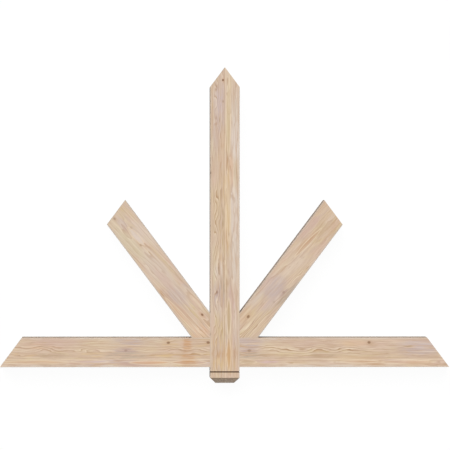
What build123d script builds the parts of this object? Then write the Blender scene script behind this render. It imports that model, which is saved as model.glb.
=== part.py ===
"""Timber gable bracket: a king post, a tie beam and two raking struts, framed flush in one plane.

The bracket is modelled as it lies on its back: X runs along the tie beam, Y runs up the gable and Z runs
out of the front. The origin is where the centrelines of the king post and the tie beam cross, on the back
face. All sizes are in millimetres, and the timber is smooth stock of nominal 6 by 6 inches.

The king post and the tie beam cross in a half lap: the post shows whole at the front and the beam shows
whole at the back. Each strut leans out at the roof's pitch, with its axis through the corner between the
post and the beam, and sits in that corner with two heel cuts.
"""
from build123d import *
import math
import os

# Gable: the triangle that the bracket fills, 84 by 56 inches, which is a pitch of 16 in 12
span = 2133.6
rise = 1422.4

# Timber: each member's width on the front face, and the depth that they share
post_width = 139.7
tie_width = 139.7
strut_width = 139.7
depth = 139.7

# Foot of the king post, below the tie beam: 3 inches long, with a 1 inch chamfer all round its end
foot_drop = 76.2
foot_chamfer = 25.4

# Groove around the foot, measured from the foot's end to the groove's lower edge
groove_height = 50.8
groove_width = 4.8
groove_depth = 3.2

# Joinery: the lap's share of the depth, and the gap left between faces that meet
lap_share = 0.5
joint_gap = 0.2

# Eased arris on the free long edges, and the overrun of every cutter past what it cuts
arris = 1.6
overrun = 5.0

# Places that follow from these sizes
rake = math.degrees(math.atan2(rise, span / 2))
rake_sine = math.sin(math.radians(rake))
rake_cosine = math.cos(math.radians(rake))
underside = -tie_width / 2
tie_top = tie_width / 2
post_side = post_width / 2
apex = underside + rise
shoulder = apex - post_side * math.tan(math.radians(rake))
foot_end = underside - foot_drop
lap_height = depth * lap_share
heel_x = post_side + joint_gap
heel_y = tie_top + joint_gap
strut_on_tie = heel_x + strut_width / 2 / rake_sine
strut_on_post = heel_y + strut_width / 2 / rake_cosine
tie_top_end = span / 2 - tie_width / math.tan(math.radians(rake))


def block(x_low, x_high, y_low, y_high, z_low, z_high):
    """A box between two corners, as most cutters are given by the faces that they leave."""
    size = (x_high - x_low, y_high - y_low, z_high - z_low)
    centre = ((x_low + x_high) / 2, (y_low + y_high) / 2, (z_low + z_high) / 2)
    return Pos(*centre) * Box(*size)


def arris_cutter(start, end, side, face):
    """A three-sided prism that planes the arris from start to end down to a flat of 45 degrees.

    side and face are the outward normals of the two faces that meet in the arris.
    """
    run = Vector(*end) - Vector(*start)
    section = Plane(origin=start, x_dir=side, z_dir=run.normalized())
    reach = arris + overrun
    turn = 1 if section.y_dir.dot(Vector(*face)) > 0 else -1
    corners = [(-reach, turn * overrun), (overrun, turn * overrun), (overrun, -turn * reach)]
    triangle = section * make_face(Polyline(*corners, close=True))
    return extrude(triangle, amount=run.length, dir=run.normalized())


def ease(timber, stretches):
    """Planes the free stretches of a timber's arrises, on its front, its back, and both halves alike.

    Each stretch is a start, an end and a side normal in the XY plane, for the half where X is positive.
    """
    for (x_1, y_1), (x_2, y_2), (side_x, side_y) in stretches:
        for mirrored in (1, -1):
            for z, face in ((depth, 1), (0, -1)):
                start = (mirrored * x_1, y_1, z)
                end = (mirrored * x_2, y_2, z)
                timber -= arris_cutter(start, end, (mirrored * side_x, side_y, 0), (0, 0, face))
    return timber


def foot_groove():
    """The square ring that the groove takes out of the king post's four sides."""
    low = foot_end + groove_height
    high = low + groove_width
    outside = block(-post_side - overrun, post_side + overrun, low, high, -overrun, depth + overrun)
    core_side = post_side - groove_depth
    core = block(-core_side, core_side, low, high, groove_depth, depth - groove_depth)
    return outside - core


def king_post():
    """The upright: pointed to the roof's pitch, halved at the back for the tie beam, grooved at its foot."""
    outline = Polyline(
        (-post_side, foot_end),
        (post_side, foot_end),
        (post_side, shoulder),
        (0, apex),
        (-post_side, shoulder),
        close=True,
    )
    post = extrude(make_face(outline), amount=depth, dir=(0, 0, 1))
    end_face = post.faces().sort_by(Axis.Y)[0]
    post = chamfer(end_face.edges(), foot_chamfer)
    post -= foot_groove()
    housing = block(
        -post_side - overrun,
        post_side + overrun,
        underside - joint_gap,
        tie_top + joint_gap,
        -overrun,
        lap_height + joint_gap / 2,
    )
    post -= housing
    chamfer_top = foot_end + foot_chamfer
    return ease(
        post,
        [
            ((post_side, chamfer_top - overrun), (post_side, underside), (1, 0)),
            ((post_side, strut_on_post), (post_side, shoulder + overrun), (1, 0)),
        ],
    )


def tie_beam():
    """The bottom member in one length, with raked ends, halved at the front for the king post."""
    outline = Polyline(
        (-span / 2, underside),
        (span / 2, underside),
        (tie_top_end, tie_top),
        (-tie_top_end, tie_top),
        close=True,
    )
    tie = extrude(make_face(outline), amount=depth, dir=(0, 0, 1))
    housing = block(
        -post_side - joint_gap,
        post_side + joint_gap,
        underside - overrun,
        tie_top + overrun,
        lap_height - joint_gap / 2,
        depth + overrun,
    )
    tie -= housing
    return ease(
        tie,
        [
            ((post_side, underside), (span / 2 + overrun, underside), (0, -1)),
            ((strut_on_tie, tie_top), (tie_top_end + overrun, tie_top), (0, 1)),
        ],
    )


def strut():
    """The strut on the side where X is positive, cut from a bar by its two heels and the roof's pitch."""
    heel = Pos(heel_x, heel_y)
    reach = span + rise
    bar = heel * Rot(0, 0, rake) * Rectangle(reach, strut_width)
    corner = heel * Rectangle(reach, reach, align=(Align.MIN, Align.MIN))
    pitch = make_face(Polyline((-span / 2, underside), (span / 2, underside), (0, apex), close=True))
    timber = extrude(bar & corner & pitch, amount=depth, dir=(0, 0, 1))
    along = Axis((0, 0, 0), (rake_cosine, rake_sine, 0))
    return chamfer(timber.edges().filter_by(along), arris)


def write(name, solid):
    """Writes one sub-part and prints its volume."""
    export_step(solid, f"parts/{name}.step")
    print(name, "volume in litres", round(solid.volume / 1e6, 3))


os.makedirs("parts", exist_ok=True)
right_strut = strut()
write("king_post", king_post())
write("tie_beam", tie_beam())
write("strut_right", right_strut)
write("strut_left", mirror(right_strut, about=Plane.YZ))
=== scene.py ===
# %% [markdown]
# # A timber gable bracket
# Four square timbers stand in one plane under the point of a gable: a king post, a tie beam across its
# foot and two raking struts between them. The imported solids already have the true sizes, so they could
# simply be given a material. Here each timber is sawn and eased again from a blank instead, because a real
# arris is rounded and not a flat chamfer, and because this order of work is the carpenter's own.

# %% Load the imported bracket
import math
import bpy
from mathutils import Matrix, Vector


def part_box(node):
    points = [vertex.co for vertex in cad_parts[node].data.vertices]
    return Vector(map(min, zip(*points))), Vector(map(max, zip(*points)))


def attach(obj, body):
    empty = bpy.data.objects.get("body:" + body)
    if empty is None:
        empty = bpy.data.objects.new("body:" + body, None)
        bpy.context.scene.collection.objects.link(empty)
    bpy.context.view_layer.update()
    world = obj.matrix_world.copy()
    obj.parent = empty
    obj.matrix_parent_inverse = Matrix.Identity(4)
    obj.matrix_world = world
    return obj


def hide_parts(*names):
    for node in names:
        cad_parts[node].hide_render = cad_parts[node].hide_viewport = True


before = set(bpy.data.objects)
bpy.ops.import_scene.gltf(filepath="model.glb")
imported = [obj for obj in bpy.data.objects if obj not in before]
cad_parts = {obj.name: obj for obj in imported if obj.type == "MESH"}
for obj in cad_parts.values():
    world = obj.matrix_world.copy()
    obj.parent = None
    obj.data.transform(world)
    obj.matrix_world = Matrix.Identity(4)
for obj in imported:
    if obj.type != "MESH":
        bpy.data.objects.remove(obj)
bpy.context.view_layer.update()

# %% [markdown]
# ## Sizes
# The bracket lies on its back: X runs along the tie beam, Y up the post and Z out of the front face.
# What the solids can tell is read from their boxes, so that the sawn timbers land exactly where the solids
# are. Only the joint's clearance and the small work on the foot and the arrises are written here, and all
# of it in metres.

# %% Read the sizes of the timbers
post_low, post_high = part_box("king_post")
tie_low, tie_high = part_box("tie_beam")
post_side = post_high[0]
tie_top, underside = tie_high[1], tie_low[1]
half_span = tie_high[0]
apex, foot_end = post_high[1], post_low[1]
depth = post_high[2]
strut_width = tie_top - underside
rake = math.atan2(apex - underside, half_span)
rake_sine, rake_cosine = math.sin(rake), math.cos(rake)
print("rake in degrees", round(math.degrees(rake), 2), "depth", round(depth, 4))

# %% Sizes of the joints, the foot and the arrises
joint_gap = 0.0002
lap_height = depth / 2
foot_chamfer = 0.0254
groove_low = foot_end + 0.0508
groove_width = 0.0048
groove_depth = 0.0032
arris_radius = 0.0009
heel_x = post_side + joint_gap
heel_y = tie_top + joint_gap
strut_on_tie = heel_x + strut_width / 2 / rake_sine
strut_on_post = heel_y + strut_width / 2 / rake_cosine
print("strut lands on the tie at", round(strut_on_tie, 4), "and on the post at", round(strut_on_post, 4))

# %% [markdown]
# ## Camera
# The photograph looks square at the front, so the camera hangs high over the bracket. It stands a little to
# the left and above the middle, which is why the post's left side and the tops of the beam and the right
# strut show as a thin line. A camera without perspective, hung over the middle, would hide those sides. A
# long lens from a little aside shows them and still keeps the four timbers from leaning.

# %% Hang the camera over the bracket
camera_place = (-0.50, 0.87, 20.0)
camera_turn = [math.radians(angle) for angle in (-0.7659, -1.4428, 0.03)]
bpy.ops.object.select_all(action="DESELECT")
bpy.ops.object.camera_add(location=camera_place, rotation=camera_turn)
camera = bpy.context.object
camera.data.lens = 334.98
camera.data.sensor_width = 36
camera.data.clip_end = 200
bpy.context.scene.camera = camera
bpy.context.scene.view_settings.view_transform = "Standard"
print("camera height", camera.location.z, "lens", camera.data.lens)

# %% [markdown]
# ## Saw and plane
# A timber starts as a squared blank. A raked end is one cut of the saw, which in Blender is a bisect that
# drops what lies beyond the plane. A line scribed across the faces is the same bisect with nothing dropped;
# it gives the rounding plane a place to start and stop, as a carpenter stops it short of a joint.

# %% Tools: a blank, a saw cut and a scribed line
def square_blank(name, centre, size, turn=0.0):
    """A squared timber, its place written into its mesh."""
    bpy.ops.object.select_all(action="DESELECT")
    bpy.ops.mesh.primitive_cube_add(size=1, location=centre, rotation=(0, 0, turn), scale=size)
    blank = bpy.context.object
    blank.name = blank.data.name = name
    bpy.ops.object.transform_apply(location=True, rotation=True, scale=True)
    return blank


def saw_cut(point, normal):
    """Saws the timber in hand through point and drops the side that normal points to."""
    bpy.ops.object.mode_set(mode="EDIT")
    bpy.ops.mesh.select_all(action="SELECT")
    bpy.ops.mesh.bisect(plane_co=point, plane_no=normal, clear_outer=True, use_fill=True)
    bpy.ops.object.mode_set(mode="OBJECT")


def scribe(point, normal):
    """Draws a line round the timber in hand, where a cut or a rounding is to stop."""
    bpy.ops.object.mode_set(mode="EDIT")
    bpy.ops.mesh.select_all(action="SELECT")
    bpy.ops.mesh.bisect(plane_co=point, plane_no=normal)
    bpy.ops.object.mode_set(mode="OBJECT")


# %% Tools: choose faces or edges by their place
def choose(timber, faces=None, edges=None):
    """Selects the faces or edges for which the given test is true, and leaves the timber in edit mode."""
    bpy.ops.object.mode_set(mode="EDIT")
    bpy.ops.mesh.select_mode(type="FACE" if faces else "EDGE")
    bpy.ops.mesh.select_all(action="DESELECT")
    bpy.ops.object.mode_set(mode="OBJECT")
    mesh = timber.data
    shortest = 1e-5
    chosen = 0
    for face in mesh.polygons if faces else ():
        face.select = faces(face.center, face.normal)
        chosen += face.select
    for edge in mesh.edges if edges else ():
        one, two = (mesh.vertices[v].co for v in edge.vertices)
        edge.select = (one - two).length > shortest and edges((one + two) / 2, (two - one).normalized())
        chosen += edge.select
    bpy.ops.object.mode_set(mode="EDIT")
    return chosen


def near(value, target, slack=1e-4):
    """Whether a measured place lies on a marked line."""
    return abs(value - target) < slack


# %% Tools: round the arrises and halve a timber
def round_arrises(timber, test):
    """Rounds the long edges that the test names, in three narrow strokes of the plane."""
    chosen = choose(timber, edges=test)
    bpy.ops.mesh.bevel(offset=arris_radius, segments=3, profile=0.5, affect="EDGES")
    bpy.ops.object.mode_set(mode="OBJECT")
    print(timber.name, "arrises rounded", chosen)


def halve(timber, centre, size):
    """Cuts the housing of the half lap with one block, taken away by a boolean."""
    cutter = square_blank("lap_cutter", centre, size)
    bpy.ops.object.select_all(action="DESELECT")
    timber.select_set(True)
    bpy.context.view_layer.objects.active = timber
    lap = timber.modifiers.new("half_lap", "BOOLEAN")
    lap.operation, lap.solver, lap.object = "DIFFERENCE", "EXACT", cutter
    bpy.ops.object.modifier_apply(modifier=lap.name)
    bpy.data.objects.remove(cutter, do_unlink=True)


# %% [markdown]
# ## King post
# The post is pointed to the roof's pitch at the top. Its foot hangs below the beam and is worked on all
# four sides: a wide chamfer round the end, and a shallow square groove above it. Its outline could be drawn
# and extruded in one go, but a blank that is sawn keeps whole faces to work on. The chamfer is made by
# extruding the end and drawing it in, the groove by pushing a scribed band of faces inwards. The back is
# halved for the beam.

# %% Saw the king post
chamfer_top = foot_end + foot_chamfer
post = square_blank(
    "post_timber", (0, (apex + chamfer_top) / 2, depth / 2), (2 * post_side, apex - chamfer_top, depth)
)
for side in (1, -1):
    saw_cut((0, apex, 0), (side * rake_sine, rake_cosine, 0))

choose(post, faces=lambda centre, normal: normal.y < -0.9)
bpy.ops.mesh.extrude_region_move(TRANSFORM_OT_translate={"value": (0, -foot_chamfer, 0)})
drawn_in = 1 - foot_chamfer / post_side
drawn_in_depth = 1 - 2 * foot_chamfer / depth
bpy.ops.transform.resize(
    value=(drawn_in, 1, drawn_in_depth), center_override=(0, foot_end, depth / 2), orient_type="GLOBAL"
)
bpy.ops.object.mode_set(mode="OBJECT")
print("post faces", len(post.data.polygons))

# %% Groove and halve the king post
for height in (groove_low, groove_low + groove_width):
    scribe((0, height, 0), (0, 1, 0))
band = choose(
    post,
    faces=lambda centre, normal: near(centre.y, groove_low + groove_width / 2, groove_width / 3)
    and abs(normal.y) < 0.1,
)
bpy.ops.mesh.extrude_region_shrink_fatten(
    TRANSFORM_OT_shrink_fatten={"value": -groove_depth, "use_even_offset": True}
)
bpy.ops.object.mode_set(mode="OBJECT")
halve(
    post,
    (0, 0, lap_height / 2),
    (3 * post_side, tie_top - underside + 2 * joint_gap, lap_height + joint_gap),
)
print("groove faces", band, "post faces", len(post.data.polygons))

# %% Round the post's free arrises
scribe((0, strut_on_post, 0), (0, 1, 0))
scribe((0, underside - joint_gap, 0), (0, 1, 0))


def free_post_arris(middle, along):
    """The long corners, apart from the stretch that the beam and the struts lie against."""
    on_corner = near(abs(middle.x), post_side) and (near(middle.z, 0) or near(middle.z, depth))
    clear_of_joints = middle.y > strut_on_post or middle.y < underside
    return abs(along.y) > 0.9 and on_corner and clear_of_joints


round_arrises(post, free_post_arris)

# %% [markdown]
# ## Tie beam
# The beam runs through in one length behind the post, so the lap is cut out of its front. Two short beams
# butted to the post would look the same from the front, but such a beam is framed in one length. Its two
# ends are sawn to the roof's pitch, in line with the struts' ends and the post's point.

# %% Saw and halve the tie beam
tie = square_blank("tie_timber", (0, 0, depth / 2), (2 * half_span, tie_top - underside, depth))
for side in (1, -1):
    saw_cut((side * half_span, underside, 0), (side * rake_sine, rake_cosine, 0))
halve(
    tie,
    (0, 0, depth - lap_height / 2),
    (2 * (post_side + joint_gap), 2 * tie_top, lap_height + joint_gap),
)
for side in (1, -1):
    scribe((side * (post_side + joint_gap), 0, 0), (1, 0, 0))
    scribe((side * strut_on_tie, 0, 0), (1, 0, 0))


def free_tie_arris(middle, along):
    """The long corners outside the post, and on the top outside the struts' feet too."""
    on_corner = near(abs(middle.y), tie_top) and (near(middle.z, 0) or near(middle.z, depth))
    covered = strut_on_tie if middle.y > 0 else post_side
    return abs(along.x) > 0.9 and on_corner and abs(middle.x) > covered


round_arrises(tie, free_tie_arris)

# %% [markdown]
# ## Struts
# Each strut's axis runs through the corner between the post and the beam at the roof's pitch. Two heel cuts
# seat it against both, and its upper end is sawn on the roof's line. The second could be a mirrored copy of
# the first. Here both are sawn by the same steps from blanks of their own, to be dressed with their own
# grain.

# %% Saw the two struts
def raking_strut(name, side):
    """Saws the strut on the side where x has the given sign, from a blank that is left too long."""
    lean = (side * rake_cosine, rake_sine)
    length = 1.3 * half_span * rake_cosine
    rough_length = 1.4 * length
    middle = (side * heel_x + lean[0] * length / 2, heel_y + lean[1] * length / 2, depth / 2)
    strut = square_blank(name, middle, (rough_length, strut_width, depth), math.atan2(lean[1], lean[0]))
    saw_cut((side * heel_x, 0, 0), (-side, 0, 0))
    saw_cut((0, heel_y, 0), (0, -1, 0))
    saw_cut((0, apex, 0), (side * rake_sine, rake_cosine, 0))

    def long_arris(middle, along):
        """The four edges that run along the strut."""
        return abs(along.x * lean[0] + along.y * lean[1]) > 0.999

    round_arrises(strut, long_arris)
    return strut


left_strut = raking_strut("strut_timber_left", -1)
right_strut = raking_strut("strut_timber_right", 1)

# %% [markdown]
# The solids could be hidden by hand, but then nothing would say which timber stands for which. Here every
# sawn timber rides on the one rigid body and stands in for its solid, which is hidden.

# %% Ride and replace
to_mm = 1000
for timber, node in (
    (post, "king_post"),
    (tie, "tie_beam"),
    (left_strut, "strut_left"),
    (right_strut, "strut_right"),
):
    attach(timber, "root")
    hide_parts(node)
    low = [min(corner[i] for corner in timber.bound_box) for i in range(3)]
    high = [max(corner[i] for corner in timber.bound_box) for i in range(3)]
    solid_low, solid_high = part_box(node)
    off = max(abs(a - b) for a, b in zip(low + high, list(solid_low) + list(solid_high)))
    print(timber.name, "lies within", round(off * to_mm, 3), "mm of", node)

# %% [markdown]
# ## Wood
# Sawn softwood is a solid. A picture pasted on each face would be quick, but it would break at each corner.
# The shader builds a log in space instead: growth rings round a pith that runs along the timber, so the
# same rings show as long figures on the face, as straight lines on the sides and as arcs on a sawn end.
# Object coordinates are turned and measured in millimetres along the grain (u), across the face (v) and
# through the depth (w).

# %% Node helpers: numbers
def link_in(tree, socket, value):
    """Joins a node's output to a socket, or writes a plain value into it."""
    if isinstance(value, bpy.types.NodeSocket):
        tree.links.new(value, socket)
    else:
        socket.default_value = value


def calc(tree, operation, *values, clamp=False):
    """A math node."""
    node = tree.nodes.new("ShaderNodeMath")
    node.operation, node.use_clamp = operation, clamp
    for socket, value in zip(node.inputs, values):
        link_in(tree, socket, value)
    return node.outputs[0]


def ramp_step(tree, value, low, high):
    """A smooth step from 0 at low to 1 at high."""
    node = tree.nodes.new("ShaderNodeMapRange")
    node.interpolation_type = "SMOOTHSTEP"
    for name, number in (("Value", value), ("From Min", low), ("From Max", high)):
        link_in(tree, node.inputs[name], number)
    return node.outputs["Result"]


def vector_calc(tree, operation, one, two, output=0):
    """A vector math node with two vectors."""
    node = tree.nodes.new("ShaderNodeVectorMath")
    node.operation = operation
    link_in(tree, node.inputs[0], one)
    link_in(tree, node.inputs[1], two)
    return node.outputs[output]


# %% Node helpers: colours
def shade(red, green, blue):
    """A colour as it is read off a screen, from 0 to 255, made linear."""
    channels = [c / 255 for c in (red, green, blue)]
    return [c / 12.92 if c < 0.04045 else ((c + 0.055) / 1.055) ** 2.4 for c in channels] + [1.0]


def tinge(tree, colour, amount, share, tint, blend="MIX"):
    """Lays a tint over a colour where amount is 1, at most by the given share."""
    node = tree.nodes.new("ShaderNodeMix")
    node.data_type, node.blend_type = "RGBA", blend
    link_in(tree, node.inputs["Factor"], calc(tree, "MULTIPLY", amount, share))
    # a Mix node has sockets A and B for every type of value, and those for colours are numbers 6 and 7
    link_in(tree, node.inputs[6], colour)
    link_in(tree, node.inputs[7], shade(*tint))
    return node.outputs[2]


# %% [markdown]
# ### Marks that lie at a place
# Much of what makes one stick differ from the next lies at a place: a knot, a swelling of the rings, a
# darker patch. All of them start as the same soft oval. It is made once as a node group, which keeps the
# tree short, and is then set down wherever it is wanted.

# %% A group that makes one soft spot on the face
def new_group(name, inputs, outputs):
    """An empty node group with vectors going in and numbers coming out."""
    group = bpy.data.node_groups.new(name, "ShaderNodeTree")
    for socket in inputs:
        group.interface.new_socket(socket, in_out="INPUT", socket_type="NodeSocketVector")
    for socket in outputs:
        group.interface.new_socket(socket, in_out="OUTPUT", socket_type="NodeSocketFloat")
    return group, group.nodes.new("NodeGroupInput"), group.nodes.new("NodeGroupOutput")


def spot_group():
    """1 at the middle of an oval, falling softly to 0; Size holds one over its three half lengths."""
    group, start, end = new_group("soft_spot", ("Grain", "Centre", "Size"), ("Amount",))
    away = vector_calc(group, "SUBTRACT", start.outputs["Grain"], start.outputs["Centre"])
    sized = vector_calc(group, "MULTIPLY", away, start.outputs["Size"])
    square = vector_calc(group, "DOT_PRODUCT", sized, sized, "Value")
    fall = calc(group, "MULTIPLY", square, -1.0)
    link_in(group, end.inputs["Amount"], calc(group, "EXPONENT", fall))
    return group


soft_spot = spot_group()
print(soft_spot.name, "nodes", len(soft_spot.nodes))

# %% [markdown]
# ### Pointed lenses
# Where a board is planed through a hollow of the log, a growth ring shows as two arcs that meet in points.
# Swelling the rings could give the same shape, but it would seldom close so neatly, so the lens is drawn by
# itself.

# %% A group that draws one lens of the figure
def lens_group():
    """Inside is 1 within the two arcs and Rim is 1 on their line."""
    group, start, end = new_group("pointed_lens", ("Grain", "Centre", "Size"), ("Inside", "Rim"))
    away = vector_calc(group, "SUBTRACT", start.outputs["Grain"], start.outputs["Centre"])
    offset, size = group.nodes.new("ShaderNodeSeparateXYZ"), group.nodes.new("ShaderNodeSeparateXYZ")
    link_in(group, offset.inputs[0], away)
    link_in(group, size.inputs[0], start.outputs["Size"])
    reach = calc(group, "DIVIDE", offset.outputs[0], size.outputs[0])
    bow = calc(group, "SUBTRACT", 1.0, calc(group, "MULTIPLY", reach, reach))
    height = calc(group, "MULTIPLY", bow, size.outputs[1])
    depth_in = calc(group, "SUBTRACT", height, calc(group, "ABSOLUTE", offset.outputs[1]))
    link_in(group, end.inputs["Inside"], ramp_step(group, depth_in, -0.5, 2.0))
    rim_offset, rim_core, rim_reach = 1.5, 0.8, 3.8
    off_rim = calc(group, "ABSOLUTE", calc(group, "ADD", depth_in, rim_offset))
    on_rim = ramp_step(group, off_rim, rim_reach, rim_core)
    near_lens = ramp_step(group, calc(group, "ABSOLUTE", reach), 1.12, 0.9)
    link_in(group, end.inputs["Rim"], calc(group, "MULTIPLY", on_rim, near_lens))
    return group


pointed_lens = lens_group()
print(pointed_lens.name, "nodes", len(pointed_lens.nodes))

# %% [markdown]
# ### The timber's own ruler
# Every pattern below is placed in millimetres of the timber that it belongs to. The ruler starts near the
# middle of the crossing and turns with the timber. It leans a few degrees where the grain runs out of the
# side, as it does in both struts.

# %% Measure a timber along its grain
class Grain:
    """The shader tree of one timber, and its places along, across and through the grain."""

    def __init__(self, tree, start, turn, slope):
        self.tree, self.slope = tree, slope
        self.place = tree.nodes.new("ShaderNodeTexCoord")
        measure = tree.nodes.new("ShaderNodeMapping")
        measure.vector_type = "TEXTURE"
        measure.inputs["Location"].default_value = start
        measure.inputs["Rotation"].default_value = (0, 0, turn + slope)
        measure.inputs["Scale"].default_value = (1 / to_mm, 1 / to_mm, 1 / to_mm)
        link_in(tree, measure.inputs["Vector"], self.place.outputs["Object"])
        self.vector = measure.outputs["Vector"]
        split = tree.nodes.new("ShaderNodeSeparateXYZ")
        link_in(tree, split.inputs[0], self.vector)
        self.along, self.across, self.through = split.outputs
        self.own_part = tree.nodes.new("ShaderNodeCombineXYZ")

    def on_grain(self, u, v):
        """Turns a place given along the timber into one given along its sloping grain."""
        cosine, sine = math.cos(self.slope), math.sin(self.slope)
        return u * cosine + v * sine, v * cosine - u * sine

    def spot(self, u, v, half_length, half_width, deep=None):
        """A soft oval spot on the face; deep is how far it reaches in, if not right through the timber."""
        node = self.tree.nodes.new("ShaderNodeGroup")
        node.node_tree = soft_spot
        link_in(self.tree, node.inputs["Grain"], self.vector)
        node.inputs["Centre"].default_value = (*self.on_grain(u, v), depth * to_mm)
        node.inputs["Size"].default_value = (1 / half_length, 1 / half_width, 1 / deep if deep else 0)
        return node.outputs["Amount"]

    def cloud(self, lengths, detail, roughness=0.5):
        """Soft noise between 0 and 1, with lengths along, across and through the grain."""
        stretch = self.tree.nodes.new("ShaderNodeVectorMath")
        stretch.operation = "MULTIPLY_ADD"
        link_in(self.tree, stretch.inputs[0], self.vector)
        stretch.inputs[1].default_value = [1 / length for length in lengths]
        link_in(self.tree, stretch.inputs[2], self.own_part.outputs[0])
        noise = self.tree.nodes.new("ShaderNodeTexNoise")
        noise.inputs["Scale"].default_value = 1
        noise.inputs["Detail"].default_value = detail
        noise.inputs["Roughness"].default_value = roughness
        link_in(self.tree, noise.inputs["Vector"], stretch.outputs[0])
        return noise.outputs["Fac"]


# %% [markdown]
# ### Growth rings
# A ring is a distance from the pith. The post and the beam look as if two boards lay side by side in them,
# so each board there has a pith of its own. The distance wanders and ripples, and each figure on the face
# is a swelling that pushes the rings out or in. A wood texture node could draw the bands, but it has no
# such places to push. Dark late wood ends sharply at the year's end, and pale early wood starts the next.

# %% Rings round the pith
ring_width = 7.0
sway_lengths, sway_reach = (420, 200, 200), 18.0
ripple_lengths, ripple_reach = (62, 15, 30), 9.0
strength_lengths = (120, 20, 40)
next_board_noise = 7.3


def distance_from_pith(grain, boards, seed):
    """Places each board's pith, gives each board its own part of the noise, and returns the distance."""
    tree, across, through = grain.tree, grain.across, grain.through
    pith_v, pith_w = boards[0][1:]
    grain.own_part.inputs[0].default_value = seed
    for edge, next_v, next_w in boards[1:]:
        upper = ramp_step(tree, across, edge - 0.5, edge + 0.5)
        pith_v = calc(tree, "MULTIPLY_ADD", upper, next_v - pith_v, pith_v)
        pith_w = calc(tree, "MULTIPLY_ADD", upper, next_w - pith_w, pith_w)
        link_in(tree, grain.own_part.inputs[1], calc(tree, "MULTIPLY", upper, next_board_noise))
    out_v = calc(tree, "SUBTRACT", across, pith_v)
    out_w = calc(tree, "SUBTRACT", through, pith_w)
    squares = calc(tree, "ADD", calc(tree, "MULTIPLY", out_v, out_v), calc(tree, "MULTIPLY", out_w, out_w))
    return calc(tree, "SQRT", squares)


def growth_rings(grain, radius, figures, knots, lenses, bold, marked):
    """Late and early wood, each from 0 to 1 by how strongly it shows."""
    tree = grain.tree
    radius = calc(tree, "MULTIPLY_ADD", grain.cloud(sway_lengths, 1.0), sway_reach, radius)
    radius = calc(tree, "MULTIPLY_ADD", grain.cloud(ripple_lengths, 1.0), ripple_reach, radius)
    strength = ramp_step(tree, grain.cloud(strength_lengths, 2.0), 0.35, 0.7)
    strength = calc(tree, "MULTIPLY_ADD", strength, 0.35, bold)
    for u, v, half_length, half_width, height, contrast in figures:
        swell = grain.spot(u, v, half_length, half_width)
        radius = calc(tree, "MULTIPLY_ADD", swell, height, radius)
        strength = calc(tree, "MULTIPLY_ADD", swell, contrast, strength)
    for u, v, size, _ in knots:
        radius = calc(tree, "MULTIPLY_ADD", grain.spot(u, v, size * 8, size * 3), size * 1.2, radius)
    strength = calc(tree, "MULTIPLY", strength, marked, clamp=True)
    for lens, _, _ in lenses:
        quiet = calc(tree, "SUBTRACT", 1.0, calc(tree, "MULTIPLY", lens.outputs["Inside"], 0.8))
        strength = calc(tree, "MULTIPLY", strength, quiet)
    year = calc(tree, "FRACT", calc(tree, "DIVIDE", radius, ring_width))
    late = calc(tree, "SUBTRACT", ramp_step(tree, year, 0.55, 0.9), ramp_step(tree, year, 0.93, 1.0))
    early = calc(tree, "SUBTRACT", 1.0, ramp_step(tree, year, 0.05, 0.4))
    return calc(tree, "MULTIPLY", late, strength), calc(tree, "MULTIPLY", early, strength)


# %% Place the lenses
def place_lenses(grain, lenses):
    """One lens node for each place, kept with its tint and how strongly it is tinted."""
    placed = []
    for u, v, half_length, half_height, tint, amount in lenses:
        lens = grain.tree.nodes.new("ShaderNodeGroup")
        lens.node_tree = pointed_lens
        link_in(grain.tree, lens.inputs["Grain"], grain.vector)
        lens.inputs["Centre"].default_value = (*grain.on_grain(u, v), 0)
        lens.inputs["Size"].default_value = (half_length, half_height, 1)
        placed.append((lens, tint, amount))
    return placed


# %% [markdown]
# ### Colour
# The ground is a slow change between a pale and a darker side of the same wood, with straw and rose
# clouds. Over it go listed patches, whose edges fray along the grain, then lenses, streaks, the
# rings and the fine fibre. One strong noise would be shorter, but real softwood differs little from place
# to place, and thin tints laid one over the other keep it so.

# %% Tints of the wood
straw_cloud, rose_cloud = (212, 191, 150), (213, 183, 168)
dark_streak, pale_streak = (192, 156, 124), (236, 218, 196)
late_wood, early_wood, fibre_line = (168, 128, 94), (238, 220, 196), (188, 158, 128)
lens_rim, seam_line, beside_seam = (230, 210, 182), (168, 136, 104), (236, 216, 190)
knot_halo, knot_bark, knot_heart = (180, 136, 98), (112, 78, 52), (160, 116, 80)
# the last two tints are the groove's painted shade, beside it and inside it
end_wood, groove_edge_shade, groove_shade = (206, 200, 196), (150, 106, 62), (58, 34, 16)
tone_lengths, hue_lengths = (210, 26, 60), (90, 22, 40)
fray_lengths, streak_lengths, fibre_lengths = (60, 7, 12), (150, 6.5, 9), (22, 0.8, 0.8)
print("late wood in linear light", [round(channel, 3) for channel in shade(*late_wood)[:3]])


# %% Ground, patches and lenses
def ground(grain, pale_side, dark_side):
    """The wood's slow changes of tone and hue."""
    tree = grain.tree
    tone = ramp_step(tree, grain.cloud(tone_lengths, 2.0), 0.32, 0.68)
    colour = tinge(tree, shade(*pale_side), tone, 1.0, dark_side)
    hue = grain.cloud(hue_lengths, 1.0)
    colour = tinge(tree, colour, ramp_step(tree, hue, 0.5, 0.72), 0.6, straw_cloud)
    return tinge(tree, colour, ramp_step(tree, hue, 0.5, 0.28), 0.6, rose_cloud)


def frayed_noise(grain):
    """What is added to a spot, to fray its edge along the grain."""
    return calc(grain.tree, "MULTIPLY_ADD", grain.cloud(fray_lengths, 2.0), 0.7, -0.35)


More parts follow.
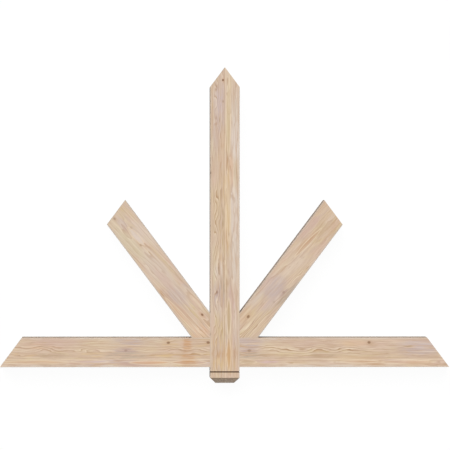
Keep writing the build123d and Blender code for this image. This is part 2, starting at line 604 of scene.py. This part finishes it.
def lay_patches(grain, colour, fray, patches, lenses):
    """Tinted patches in the order of the list, a later one over an earlier one, and then the lenses."""
    tree = grain.tree
    for u, v, half_length, half_width, tint, amount in patches:
        spread = calc(tree, "ADD", grain.spot(u, v, half_length, half_width), fray)
        colour = tinge(tree, colour, ramp_step(tree, spread, -0.05, 0.65), amount, tint)
    for lens, tint, amount in lenses:
        colour = tinge(tree, colour, lens.outputs["Inside"], amount, tint)
        colour = tinge(tree, colour, lens.outputs["Rim"], 0.6, lens_rim)
    return colour


# %% Streaks, rings, fibre and the line between two boards
def draw_grain(grain, colour, late, early, fibre, marked):
    """Streaks, rings and fibre, from the coarsest to the finest."""
    tree = grain.tree
    streak = grain.cloud(streak_lengths, 1.0)
    colour = tinge(tree, colour, ramp_step(tree, streak, 0.5, 0.8), 0.4 * marked, dark_streak)
    colour = tinge(tree, colour, ramp_step(tree, streak, 0.5, 0.2), 0.4 * marked, pale_streak)
    colour = tinge(tree, colour, late, 0.9, late_wood)
    colour = tinge(tree, colour, early, 0.65, early_wood)
    return tinge(tree, colour, ramp_step(tree, fibre, 0.45, 0.8), 0.25 * marked, fibre_line)


def line_boards(grain, colour, boards):
    """A fine dark line where a board ends, and a paler band below it."""
    tree = grain.tree
    for edge, *_ in boards[1:]:
        off_line = calc(tree, "ABSOLUTE", calc(tree, "SUBTRACT", grain.across, edge))
        colour = tinge(tree, colour, ramp_step(tree, off_line, 2.0, 0.2), 0.4, seam_line)
        off_band = calc(tree, "ABSOLUTE", calc(tree, "SUBTRACT", grain.across, edge - 5))
        colour = tinge(tree, colour, ramp_step(tree, off_band, 4, 1), 0.4, beside_seam)
    return colour


# %% [markdown]
# ### Knots, edges and the groove
# A knot is the foot of a branch that the trunk grew round. It could be a small log of its own with its own
# rings, but these are pin knots of a few millimetres, so a spot with a dark rim is enough. It ends some way
# in, so that it doesn't show on the back as well. The edges grey a little from handling. The shade in the
# groove is painted into its colour, near black inside and browner along its edges.

# %% Knots, grey edges and the groove's painted shade
def set_knots(grain, colour, fray, knots):
    """A knot is a darker halo, a ring of bark and a paler heart, and it ends some way in."""
    tree = grain.tree
    for u, v, size, dark in knots:
        halo = grain.spot(u, v, size * 3, size * 1.6, size * 4)
        colour = tinge(tree, colour, halo, 0.5 * dark, knot_halo)
        field = calc(tree, "ADD", grain.spot(u, v, size * 1.3, size, size * 3), fray)
        bark, heart = ramp_step(tree, field, 0.1, 0.55), ramp_step(tree, field, 0.55, 0.9)
        colour = tinge(tree, colour, bark, dark, knot_bark)
        colour = tinge(tree, colour, heart, 0.4 * dark, knot_heart)
    return colour


def grey_edges(grain, colour, edge_tint):
    """The edges are handled most, so the last few millimetres are a little greyer."""
    tree, slope = grain.tree, grain.slope
    straight = calc(tree, "MULTIPLY", grain.across, math.cos(slope))
    straight = calc(tree, "MULTIPLY_ADD", grain.along, math.sin(slope), straight)
    half_width = strut_width / 2 * to_mm
    edge = ramp_step(tree, calc(tree, "ABSOLUTE", straight), half_width - 8, half_width - 2)
    return tinge(tree, colour, edge, 0.5, edge_tint)


def paint_groove_shade(grain, colour, middle, half_width):
    """Paints the groove's shade: near black inside the groove and a browner painted shade beside it."""
    tree = grain.tree
    off = calc(tree, "ABSOLUTE", calc(tree, "SUBTRACT", grain.along, middle))
    # painted shade: a brown band along the groove's edges, and near black inside the groove
    colour = tinge(tree, colour, ramp_step(tree, off, half_width + 2.0, half_width), 0.5, groove_edge_shade)
    return tinge(tree, colour, ramp_step(tree, off, half_width + 0.3, half_width), 1.0, groove_shade)


# %% [markdown]
# ### Put the finish together
# One function makes the whole finish for a timber from the lists of its marks. Four materials written out
# by hand would be easier to bend one by one, but this way all four timbers stay the same kind of wood. Dry,
# planed wood is matt, so the surface has no gloss of its own, and the fibre stands up by a fraction of a
# millimetre as bump.

# %% The timber material
fibre_relief = 0.0004


def timber_finish(
    name,
    boards,
    figures,
    lenses,
    knots,
    patches,
    seed,
    start=(0, 0, 0),
    turn=0.0,
    slope=0.0,
    groove=None,
    bold=0.1,
    marked=1.0,
    edge_tint=(210, 194, 178),
):
    """Planed softwood for one timber.

    boards gives each board's lower edge and its pith; figures, lenses, knots and patches are placed by u
    and v on the face. start and turn give the point and the direction from which the timber is measured,
    and slope the angle at which its grain runs out of it. bold is how strongly the rings show between the
    figures, marked how strongly all of the grain shows, and groove the middle and half width of a groove.
    """
    finish = bpy.data.materials.new(name)
    finish.use_nodes = True
    tree = finish.node_tree
    grain = Grain(tree, start, turn, slope)
    radius = distance_from_pith(grain, boards, seed)
    placed_lenses = place_lenses(grain, lenses)
    late, early = growth_rings(grain, radius, figures, knots, placed_lenses, bold, marked)
    fray = frayed_noise(grain)
    fibre = grain.cloud(fibre_lengths, 3.0, 0.6)

    colour = ground(grain, pale_side=(216, 194, 172), dark_side=(211, 186, 159))
    colour = lay_patches(grain, colour, fray, patches, placed_lenses)
    colour = draw_grain(grain, colour, late, early, fibre, marked)
    colour = line_boards(grain, colour, boards)
    colour = set_knots(grain, colour, fray, knots)
    colour = grey_edges(grain, colour, edge_tint)

    # sawn ends drink more light than planed faces
    timber_line = (math.cos(turn), math.sin(turn), 0)
    facing = vector_calc(tree, "DOT_PRODUCT", grain.place.outputs["Normal"], timber_line, "Value")
    end_grain = ramp_step(tree, calc(tree, "ABSOLUTE", facing), 0.35, 0.75)
    colour = tinge(tree, colour, end_grain, 0.5, end_wood, "MULTIPLY")
    # the groove's shade is painted into the colour
    if groove:
        colour = paint_groove_shade(grain, colour, *groove)

    surface = tree.nodes["Principled BSDF"]
    link_in(tree, surface.inputs["Base Color"], colour)
    rough = calc(tree, "MULTIPLY_ADD", late, -0.1, 0.72)
    link_in(tree, surface.inputs["Roughness"], calc(tree, "MULTIPLY_ADD", end_grain, 0.15, rough))
    surface.inputs["Specular IOR Level"].default_value = 0.0
    bump = tree.nodes.new("ShaderNodeBump")
    bump.inputs["Strength"].default_value = 0.35
    bump.inputs["Distance"].default_value = fibre_relief
    link_in(tree, bump.inputs["Height"], calc(tree, "MULTIPLY_ADD", late, 0.35, fibre))
    link_in(tree, surface.inputs["Normal"], bump.outputs["Normal"])
    print(name, "nodes", len(tree.nodes))
    return finish


# %% [markdown]
# ### Where each mark lies
# Two sticks of softwood differ by where their figures, knots and darker patches lie. A noise could scatter
# them, but it wouldn't put them where the photograph shows them, so each is set down one by one. A figure
# is u, v, half length, half width, how far it pushes the rings and how strongly they then show. A lens or a
# patch is u, v, half length, half width, its tint and its share. A knot is u, v, its radius and how dark it
# is. All lengths are in millimetres.

# %% Tints of the patches
slate, indigo, teal = (197, 178, 171), (182, 159, 155), (184, 167, 150)
lilac, sky, pale, cream = (204, 186, 184), (216, 202, 189), (222, 208, 197), (221, 201, 172)
rose, rose_brown, beige = (214, 185, 186), (204, 175, 162), (219, 183, 154)
ochre, straw, moss = (213, 183, 140), (210, 188, 150), (210, 195, 168)
olive, dark_olive, umber = (197, 173, 137), (185, 160, 132), (194, 156, 123)
rust, gold, orange = (202, 156, 116), (208, 168, 120), (216, 172, 136)
oat, ash, chalk, fawn = (207, 180, 150), (213, 195, 179), (218, 200, 188), (210, 189, 170)

# %% Dress the tie beam
tie.data.materials.append(
    timber_finish(
        "planed_tie_timber",
        boards=[(-80, -47, 60), (-27, -40, 70)],
        figures=[
            (-940, 15, 60, 16, 6, 0.3),
            (-850, 16, 40, 14, -6, 0.6),
            (-790, 12, 40, 14, 6, 0.5),
            (-700, 10, 45, 14, 7, 0.2),
            (-630, 16, 50, 14, -7, 0.45),
            (-410, 10, 40, 12, 6, 0.5),
            (-330, 15, 60, 16, 7, 0.1),
            (-230, 16, 45, 14, -5, 0.5),
            (-125, 15, 50, 14, -5, 0.6),
            (-20, 15, 50, 16, 8, 0.2),
            (215, 22, 40, 16, -6, 0.6),
            (290, 10, 45, 12, 4, 0.8),
            (370, 10, 50, 14, 8, 0.4),
            (445, 16, 40, 14, -6, 0.5),
            (520, 12, 40, 14, 5, 0.3),
            (590, 16, 50, 14, -5, 0.7),
        ],
        lenses=[
            (-900, -46, 165, 6, orange, 0.3),
            (-640, -44, 90, 6, rose, 0.3),
            (-355, -48, 98, 8, orange, 0.7),
            (-170, -48, 87, 9, rust, 0.45),
            (110, -46, 42, 8, olive, 0.4),
            (640, -44, 92, 6, beige, 0.4),
            (870, -46, 130, 8, beige, 0.4),
        ],
        knots=[
            (-268, 46, 5.5, 0.6),
            (-79, 46, 5.5, 0.6),
            (-470, 9, 5.5, 0.22),
            (116, 9, 6, 0.3),
            (685, 47, 5.2, 0.6),
        ],
        patches=[
            (-600, 66, 380, 7, sky, 0.8),
            (-700, -66, 300, 8, sky, 1.0),
            (-870, 33, 70, 16, beige, 0.7),
            (-650, 38, 60, 16, moss, 0.4),
            (-945, -12, 60, 11, ochre, 0.6),
            (-825, -14, 70, 11, dark_olive, 0.8),
            (-630, -13, 75, 11, ochre, 0.8),
            (-830, -44, 90, 12, ochre, 0.4),
            (-708, -46, 42, 10, rose_brown, 0.9),
            (-470, 45, 85, 26, slate, 1.0),
            (-465, 8, 70, 10, indigo, 0.8),
            (-470, -15, 95, 14, teal, 1.0),
            (-530, -41, 90, 9, lilac, 0.8),
            (-620, -52, 60, 10, lilac, 0.7),
            (-396, -47, 40, 9, rose_brown, 0.4),
            (-330, 45, 60, 20, moss, 0.4),
            (-262, 35, 45, 20, ochre, 0.5),
            (-200, -14, 150, 10, ochre, 0.8),
            (-178, 30, 20, 45, rust, 0.85),
            (-175, -38, 32, 32, rust, 1.0),
            (-110, 42, 30, 24, ochre, 0.4),
            (-100, -50, 30, 12, lilac, 0.7),
            (600, 67, 350, 5, pale, 0.5),
            (450, -64, 300, 6, sky, 0.8),
            (110, 40, 75, 32, slate, 1.0),
            (115, 6, 35, 9, indigo, 0.7),
            (130, -17, 70, 13, teal, 1.0),
            (205, -41, 45, 10, rose, 0.9),
            (100, -48, 30, 12, olive, 0.3),
            (225, 62, 60, 9, sky, 0.8),
            (310, -10, 105, 10, straw, 0.9),
            (345, -44, 40, 9, umber, 0.3),
            (370, 42, 65, 18, rose_brown, 0.6),
            (438, 8, 24, 7, umber, 0.3),
            (470, -14, 62, 11, dark_olive, 0.75),
            (645, -10, 115, 10, straw, 0.7),
            (612, 42, 65, 16, beige, 0.5),
            (708, -45, 36, 8, umber, 0.8),
            (790, -42, 50, 9, rose_brown, 0.9),
            (925, 12, 80, 28, slate, 0.95),
            (880, 8, 50, 8, indigo, 0.4),
            (930, 40, 90, 20, lilac, 0.7),
            (930, -46, 60, 14, beige, 0.5),
            (-800, 50, 100, 20, rose_brown, 0.8),
            (-570, 40, 80, 26, cream, 0.6),
            (-420, -54, 80, 14, rose_brown, 0.9),
            (-420, -52, 60, 12, indigo, 0.35),
            (-178, -28, 24, 12, umber, 0.5),
            (205, 32, 40, 14, cream, 0.4),
            (-365, 12, 50, 14, cream, 0.6),
            (250, 14, 90, 18, cream, 0.5),
            (700, -42, 60, 16, umber, 0.6),
            (590, -30, 80, 10, ochre, 0.5),
            (-660, 8, 50, 12, cream, 0.5),
            (-620, -10, 50, 10, cream, 0.3),
            (720, -50, 40, 10, umber, 0.5),
            (-690, -50, 60, 10, umber, 0.4),
        ],
        seed=3.0,
    )
)

# %% Dress the king post
groove_middle = (groove_low + groove_width / 2) * to_mm
post.data.materials.append(
    timber_finish(
        "planed_post_timber",
        turn=math.pi / 2,
        boards=[(-80, -19, 60), (3, -12, 70)],
        figures=[
            (-55, 43, 45, 14, -5, 0.5),
            (45, 43, 50, 14, -5, 0.5),
            (150, 42, 50, 16, 8, 0.3),
            (255, 42, 45, 14, -5, 0.4),
            (340, 42, 45, 14, 6, 0.3),
            (430, 43, 45, 14, -5, 0.4),
            (540, 40, 50, 14, 8, 0.4),
            (615, 43, 40, 14, -6, 0.5),
            (690, 40, 40, 14, 5, 0.4),
            (755, 43, 50, 14, -5, 0.5),
            (1190, 38, 36, 14, 12, 0.5),
            (1260, 38, 30, 12, 10, 0.5),
            (1100, 38, 40, 12, 10, 0.3),
        ],
        lenses=[
            (-8, -19, 84, 9, gold, 0.45),
            (168, -19, 92, 9, olive, 0.7),
            (715, -17, 195, 8, ochre, 0.4),
            (1112, -17, 195, 9, straw, 0.6),
        ],
        knots=[
            (1292, 9, 3.5, 1.0),
            (1191, 9, 4.2, 0.2),
            (853, 70, 4, 0.9),
            (285, 37, 5, 0.3),
            (87, 70, 4, 0.6),
        ],
        patches=[
            (-10, 36, 80, 40, ochre, 0.7),
            (-60, -25, 40, 26, ochre, 0.55),
            (-5, 38, 22, 34, umber, 0.7),
            (-3, -14, 30, 19, gold, 1.0),
            (125, 20, 70, 22, straw, 0.6),
            (165, -20, 62, 10, olive, 0.6),
            (200, -42, 52, 9, rose, 0.8),
            (268, 30, 60, 32, slate, 1.0),
            (285, 36, 22, 10, indigo, 0.9),
            (320, 8, 52, 12, teal, 0.95),
            (320, -18, 80, 9, lilac, 0.6),
            (415, 52, 95, 12, moss, 0.7),
            (470, 10, 90, 8, olive, 0.3),
            (465, 22, 70, 6, gold, 0.5),
            (506, -9, 26, 7, umber, 0.8),
            (500, -45, 180, 22, sky, 0.9),
            (330, -48, 60, 14, sky, 0.2),
            (600, 48, 40, 20, olive, 0.4),
            (640, 11, 50, 12, dark_olive, 1.0),
            (850, 18, 170, 14, oat, 0.5),
            (903, -20, 34, 11, umber, 1.0),
            (770, -6, 100, 11, ochre, 0.8),
            (820, -48, 260, 22, sky, 0.9),
            (975, 54, 50, 14, moss, 0.6),
            (1060, -12, 60, 9, moss, 0.7),
            (1095, 20, 48, 17, slate, 0.8),
            (1200, 24, 75, 28, lilac, 0.9),
            (1190, -15, 52, 10, olive, 0.7),
            (1110, -50, 130, 20, sky, 0.8),
            (5, -26, 70, 14, umber, 0.55),
            (-10, 2, 50, 14, umber, 0.4),
            (130, -50, 60, 12, pale, 0.35),
            (250, -30, 55, 13, rose_brown, 0.9),
            (395, 30, 45, 16, pale, 0.8),
            (345, -9, 50, 12, cream, 0.6),
            (590, -12, 100, 14, ochre, 0.6),
            (592, -50, 50, 16, pale, 0.8),
            (750, 30, 70, 14, cream, 0.3),
            (1012, 10, 50, 10, umber, 0.6),
            (860, -30, 80, 12, beige, 0.7),
            (990, -52, 70, 18, pale, 0.9),
            (725, -40, 60, 18, pale, 0.6),
            (1050, 42, 80, 16, lilac, 0.5),
            (840, -10, 60, 9, umber, 0.4),
            (700, 42, 80, 20, straw, 0.5),
            (460, 40, 50, 14, straw, 0.4),
            (-10, -20, 50, 14, gold, 0.35),
            (850, -50, 70, 10, straw, 0.4),
            (250, 20, 40, 14, umber, 0.25),
            (190, 32, 40, 12, pale, 0.3),
            (30, -50, 60, 14, lilac, 0.3),
            (100, -10, 60, 12, lilac, 0.3),
            (-140, 0, 10, 70, sky, 0.7),
            (-10, -50, 40, 14, umber, 0.25),
            (-5, -26, 20, 36, umber, 0.4),
            (550, -10, 35, 10, umber, 0.4),
        ],
        seed=11.0,
        groove=(groove_middle, groove_width / 2 * to_mm),
    )
)

# %% Dress the left strut
left_strut.data.materials.append(
    timber_finish(
        "planed_left_strut_timber",
        start=(-0.030, 0.017, 0),
        turn=math.pi - rake,
        slope=math.radians(6),
        boards=[(-80, -60, 70)],
        figures=[
            (120, 30, 60, 12, -6, 0.6),
            (100, -10, 60, 50, 0, 0.35),
            (250, -52, 60, 10, -6, 0.6),
            (660, -7, 60, 14, 9, 0.3),
            (500, 20, 60, 14, 6, 0.2),
            (400, 0, 90, 25, 3, -0.2),
        ],
        lenses=[(215, 43, 135, 8, beige, 0.4), (660, -7, 62, 12, pale, 0.4)],
        knots=[(176, -35, 4.6, 0.65), (615, 0, 5, 0.2), (709, -14, 5, 0.12), (790, 24, 4.5, 0.3)],
        patches=[
            (115, 20, 30, 50, beige, 0.7),
            (172, -32, 26, 12, rust, 0.3),
            (348, 50, 40, 16, umber, 0.9),
            (325, 5, 58, 34, slate, 0.8),
            (322, -52, 28, 12, slate, 0.8),
            (480, 5, 105, 38, ash, 1.0),
            (490, -42, 90, 7, straw, 0.3),
            (655, 40, 95, 26, moss, 0.9),
            (665, -10, 38, 13, chalk, 0.8),
            (770, 20, 40, 50, moss, 0.4),
            (240, 38, 70, 16, umber, 0.5),
            (415, 8, 60, 16, rose_brown, 0.6),
            (650, -46, 90, 20, pale, 0.5),
            (285, -50, 50, 14, cream, 0.4),
            (745, 10, 30, 14, lilac, 0.5),
        ],
        seed=23.0,
        bold=0.12,
        marked=0.72,
        edge_tint=(196, 185, 176),
    )
)

# %% Dress the right strut
right_strut.data.materials.append(
    timber_finish(
        "planed_right_strut_timber",
        start=(0.030, 0.017, 0),
        turn=rake,
        slope=math.radians(-6.5),
        boards=[(-80, 60, 70)],
        figures=[
            (540, 22, 95, 14, 6, 0.3),
            (130, -3, 50, 12, -5, 0.6),
            (90, 10, 60, 50, 0, 0.25),
            (200, -34, 90, 12, 5, 0.5),
            (450, -44, 40, 8, 7, 0.4),
            (530, -56, 30, 8, 7, 0.5),
            (320, 0, 90, 30, 3, -0.2),
        ],
        lenses=[(622, 10, 95, 8, umber, 0.5)],
        knots=[(171, 27, 5.6, 0.6), (364, -37, 5.5, 0.22), (300, -29, 5, 0.12)],
        patches=[
            (185, -18, 90, 18, straw, 0.5),
            (357, 12, 62, 46, slate, 1.0),
            (360, -40, 24, 9, indigo, 0.9),
            (370, -60, 75, 12, teal, 1.0),
            (510, 0, 70, 30, fawn, 0.8),
            (630, 18, 70, 10, umber, 0.8),
            (680, 50, 65, 17, rose_brown, 0.7),
            (715, -5, 40, 24, olive, 0.5),
            (724, 52, 22, 18, rose_brown, 0.5),
            (265, 50, 45, 14, sky, 0.6),
            (280, -22, 45, 16, lilac, 0.5),
            (460, 40, 60, 16, cream, 0.35),
            (455, -34, 50, 12, cream, 0.35),
            (765, -45, 40, 20, umber, 0.35),
            (160, 38, 40, 34, ochre, 0.3),
            (350, 50, 60, 14, rose_brown, 0.4),
        ],
        seed=37.0,
        bold=0.12,
        marked=0.72,
        edge_tint=(196, 185, 176),
    )
)

# %% [markdown]
# ## Floor and light
# The photograph is a cut-out on white. A broad soft key light from the upper left darkens the lower sides
# and the corners at the struts' feet, and a weaker soft lamp from the lower right keeps those sides from
# going black. Area lamps could do it too, but their light falls off over two metres of beam, and sun lamps
# give all of the bracket the same light. The floor looks white to the camera but sends back little light,
# and it keeps a faint shadow.

# %% Seen by the camera and by mirrors
def seen_directly(tree):
    """1 for what the camera sees, also in a mirror or through glass, and 0 for the light on the timber."""
    path = tree.nodes.new("ShaderNodeLightPath")
    in_glass = calc(tree, "MAXIMUM", path.outputs["Is Glossy Ray"], path.outputs["Is Transmission Ray"])
    return calc(tree, "MAXIMUM", path.outputs["Is Camera Ray"], in_glass)


# %% Floor
floor_radius, below_timbers = 60, -0.0006
bpy.ops.object.select_all(action="DESELECT")
bpy.ops.mesh.primitive_circle_add(
    vertices=96, radius=floor_radius, fill_type="NGON", location=(0, 0, below_timbers)
)
floor = bpy.context.object
floor.name = "floor"
bpy.ops.object.transform_apply(location=True, rotation=True, scale=True)
print("floor radius", floor_radius)

# %% Paint the floor
floor_paint = bpy.data.materials.new("white_studio_floor")
floor_paint.use_nodes = True
floor_tree = floor_paint.node_tree
floor_tree.nodes.remove(floor_tree.nodes["Principled BSDF"])
glow = floor_tree.nodes.new("ShaderNodeEmission")
glow.inputs["Color"].default_value = (1, 1, 1, 1)
glow.inputs["Strength"].default_value = 0.96
faint, plain = floor_tree.nodes.new("ShaderNodeBsdfDiffuse"), floor_tree.nodes.new("ShaderNodeBsdfDiffuse")
faint.inputs["Color"].default_value = (0.055, 0.055, 0.055, 1)
plain.inputs["Color"].default_value = (0.06, 0.06, 0.06, 1)
both = floor_tree.nodes.new("ShaderNodeAddShader")
link_in(floor_tree, both.inputs[0], glow.outputs[0])
link_in(floor_tree, both.inputs[1], faint.outputs[0])
choice = floor_tree.nodes.new("ShaderNodeMixShader")
link_in(floor_tree, choice.inputs[0], seen_directly(floor_tree))
link_in(floor_tree, choice.inputs[1], plain.outputs[0])
link_in(floor_tree, choice.inputs[2], both.outputs[0])
link_in(floor_tree, floor_tree.nodes["Material Output"].inputs["Surface"], choice.outputs[0])
floor.data.materials.append(floor_paint)
print("floor paint nodes", len(floor_tree.nodes))


# %% Key light and fill
def soft_sun(name, location, direction, energy, spread):
    """A sun lamp whose light comes from the given direction, softened over an angle in degrees."""
    bpy.ops.object.light_add(type="SUN", location=location)
    lamp = bpy.context.object
    lamp.name = name
    x, y, z = direction
    lamp.rotation_euler = (math.atan2(-y, z), math.atan2(x, math.hypot(y, z)), 0)
    lamp.data.energy = energy
    lamp.data.angle = math.radians(spread)
    return lamp


key = soft_sun("key_light", (-3, 3, 5), (-0.24, 0.66, 1.0), 3.22, 50)
fill = soft_sun("fill_light", (3, -3, 2), (0.50, -0.60, 0.50), 0.8, 40)
print("lamps", key.name, key.data.energy, fill.name, round(fill.data.energy, 2))

# %% The room's even light
room_light = 0.05
world = bpy.data.worlds.new("studio")
world.use_nodes = True
bpy.context.scene.world = world
room = world.node_tree.nodes["Background"]
room_strength = calc(
    world.node_tree, "MULTIPLY_ADD", seen_directly(world.node_tree), 1 - room_light, room_light
)
link_in(world.node_tree, room.inputs["Strength"], room_strength)
room.inputs["Color"].default_value = (1, 1, 1, 1)
print("room light", room_light)
